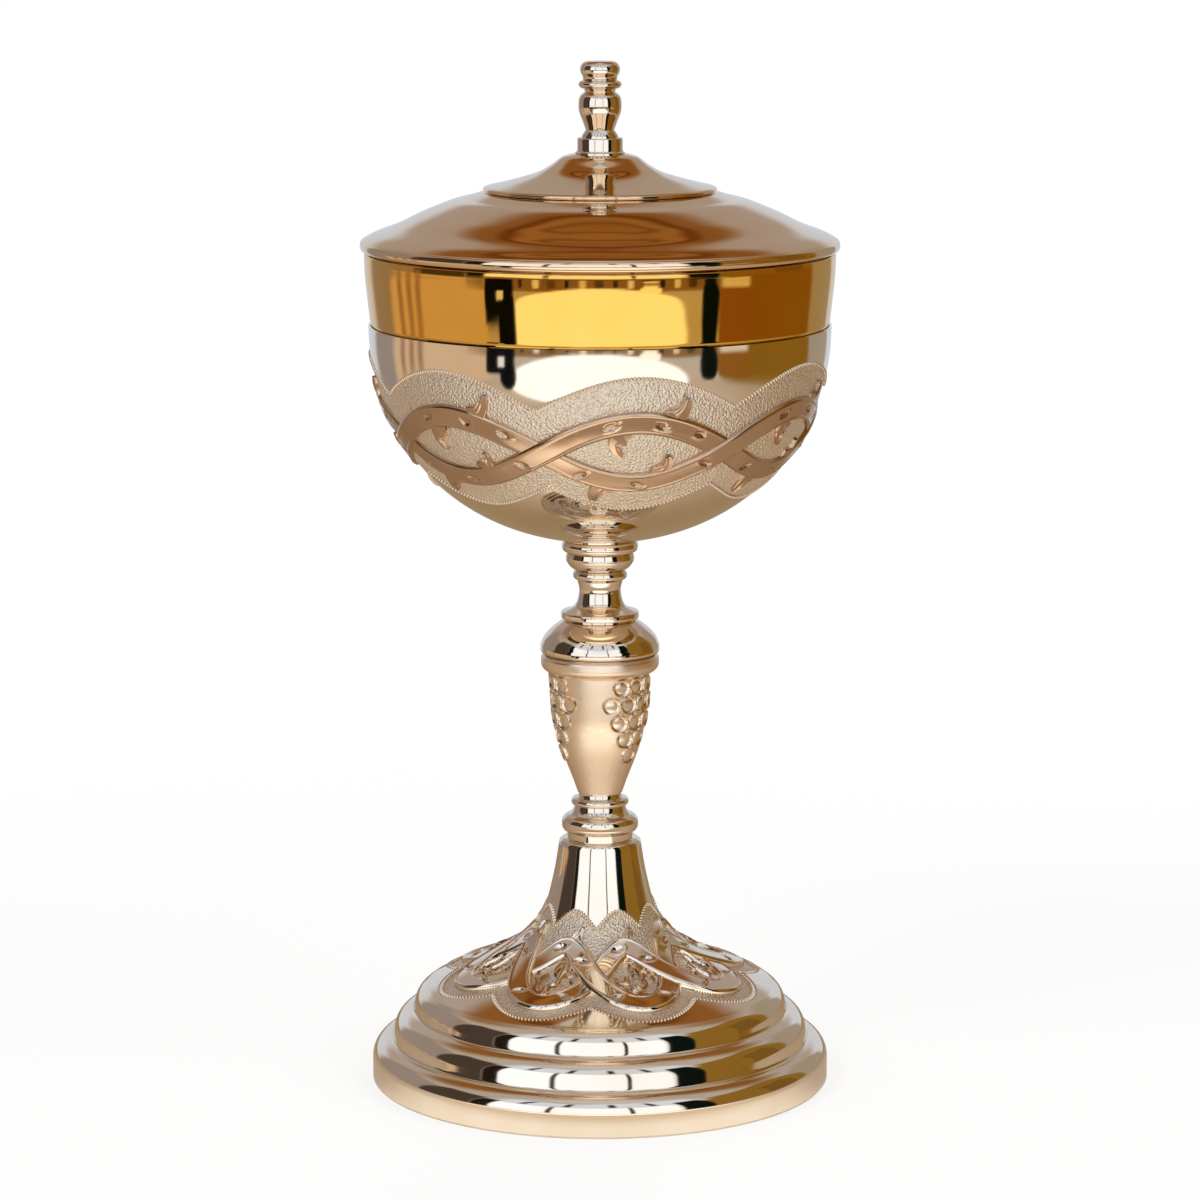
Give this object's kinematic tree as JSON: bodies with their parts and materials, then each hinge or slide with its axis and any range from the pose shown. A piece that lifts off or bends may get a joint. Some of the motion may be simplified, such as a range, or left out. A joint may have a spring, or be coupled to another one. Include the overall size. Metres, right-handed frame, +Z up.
{
  "type": "ciborium",
  "caption": "Lidded cup with a chased bowl and a smooth gilded band, on a turned stem with a vase-shaped knop and a bell-shaped spun foot; the lid lifts off by its finial.",
  "frame": {"origin": "on the axis, level with the underside of the foot's hem", "axes": "+Z up along the axis, from the foot to the finial; -Y is the side that faces the camera in the picture"},
  "size_m": [0.12, 0.12, 0.2598],
  "materials": {
    "champagne_gold": "mirror-polished plating of a pale, warm champagne gold",
    "chased_champagne": "chased: polished ribbons and borders over a matte punched ground",
    "gilding": "mirror-polished yellow gilding",
    "steel_fitting": "zinc-plated, satin",
    "brass_fitting": "turned, satin"
  },
  "bodies": {
    "vessel": {"foot_shell": "champagne_gold", "foot_washer": "steel_fitting", "foot_nut": "steel_fitting", "tie_rod": "steel_fitting", "stem_collar": "champagne_gold", "knop_vase": "champagne_gold", "knop_cap": "champagne_gold", "stem_neck": "champagne_gold", "calyx": "chased_champagne", "cup_boss": "brass_fitting", "cup_liner": "gilding"},
    "lid": {"lid_shell": "champagne_gold", "lid_skirt": "champagne_gold", "lid_crown": "champagne_gold", "finial_collar": "champagne_gold", "finial_knob": "champagne_gold", "finial_washer": "brass_fitting", "finial_nut": "brass_fitting"}
  },
  "joints": [
    {"name": "lid_lift", "type": "slide", "parent": "vessel", "child": "lid", "axis": [0, 0, 1], "range_m": [0, 0.11]}
  ]
}
